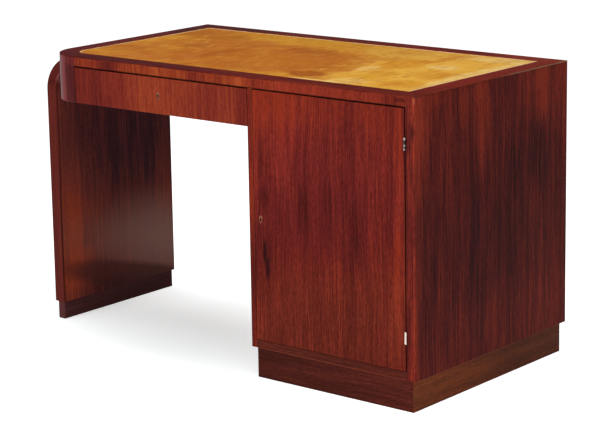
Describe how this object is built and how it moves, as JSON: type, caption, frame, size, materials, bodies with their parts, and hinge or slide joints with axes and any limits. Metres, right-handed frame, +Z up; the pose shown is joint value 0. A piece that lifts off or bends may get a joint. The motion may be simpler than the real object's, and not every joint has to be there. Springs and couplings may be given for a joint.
{
  "type": "single-pedestal writing desk",
  "caption": "Veneered kneehole writing desk with a leather-lined top rounded at one corner, a flush drawer, a pedestal cupboard and a slab leg.",
  "frame": {"origin": "on the floor, at the middle of the whole desk's length (leg included) and depth (hinge knuckles included)", "axes": "+X along the desk to the right towards the pedestal, -Y to the front where the sitter is, +Z up"},
  "size_m": [1.285, 0.644, 0.75],
  "materials": {
    "rosewood_veneer": "polished",
    "dark_border_veneer": "polished",
    "softwood_core": "planed",
    "drawer_oak": "waxed",
    "desk_leather": "polished and worn",
    "lock_brass": "dull",
    "hinge_nickel": "plated",
    "fastener_steel": "plain"
  },
  "bodies": {
    "carcase": {"top_core": "softwood_core", "border_front": "dark_border_veneer", "border_right": "dark_border_veneer", "border_back": "dark_border_veneer", "border_left": "dark_border_veneer", "border_corner": "dark_border_veneer", "leather_inset": "desk_leather", "frieze_rail": "rosewood_veneer", "back_rail": "rosewood_veneer", "corner_post": "rosewood_veneer", "end_panel": "rosewood_veneer", "back_apron": "rosewood_veneer", "drawer_cheek": "softwood_core", "end_soffit": "softwood_core", "drawer_runner_left": "drawer_oak", "drawer_runner_right": "drawer_oak", "drawer_kicker_left": "drawer_oak", "drawer_kicker_right": "drawer_oak", "drawer_stops": "drawer_oak", "drawer_strike": "lock_brass", "pedestal_side_left": "rosewood_veneer", "pedestal_side_right": "rosewood_veneer", "pedestal_back": "rosewood_veneer", "pedestal_bottom": "rosewood_veneer", "shelf_lower": "drawer_oak", "shelf_upper": "drawer_oak", "shelf_bearers": "drawer_oak", "door_strike": "lock_brass", "hinge_lower_frame_leaf": "hinge_nickel", "hinge_lower_pin": "hinge_nickel", "hinge_upper_frame_leaf": "hinge_nickel", "hinge_upper_pin": "hinge_nickel", "hinge_frame_screws": "fastener_steel", "plinth_front": "rosewood_veneer", "plinth_right": "rosewood_veneer", "plinth_back": "rosewood_veneer", "plinth_left": "rosewood_veneer", "plinth_blocks": "softwood_core", "leg_panel": "rosewood_veneer", "leg_foot": "rosewood_veneer", "leg_spacer": "rosewood_veneer", "leg_bolts": "fastener_steel"},
    "drawer": {"drawer_front": "rosewood_veneer", "drawer_side_left": "drawer_oak", "drawer_side_right": "drawer_oak", "drawer_back": "drawer_oak", "drawer_bottom": "drawer_oak", "drawer_escutcheon": "lock_brass", "drawer_lock_case": "lock_brass", "drawer_lock_screws": "fastener_steel"},
    "door": {"door_panel": "rosewood_veneer", "door_escutcheon": "lock_brass", "door_lock_case": "lock_brass", "door_lock_screws": "fastener_steel", "hinge_lower_door_leaf": "hinge_nickel", "hinge_upper_door_leaf": "hinge_nickel", "hinge_door_screws": "fastener_steel"},
    "drawer_bolt": {"drawer_lock_bolt": "lock_brass"},
    "door_bolt": {"door_lock_bolt": "lock_brass"}
  },
  "joints": [
    {"name": "drawer_slide", "type": "slide", "parent": "carcase", "child": "drawer", "axis": [0, -1, 0], "range_m": [0, 0.4]},
    {"name": "door_hinge", "type": "hinge", "parent": "carcase", "child": "door", "pos_m": [0.61575, -0.319, 0.41], "axis": [0, 0, 1], "range_deg": [0, 170]},
    {"name": "drawer_bolt_slide", "type": "slide", "parent": "drawer", "child": "drawer_bolt", "axis": [0, 0, 1], "range_m": [0, 0.008]},
    {"name": "door_bolt_slide", "type": "slide", "parent": "door", "child": "door_bolt", "axis": [-1, 0, 0], "range_m": [0, 0.008]}
  ]
}
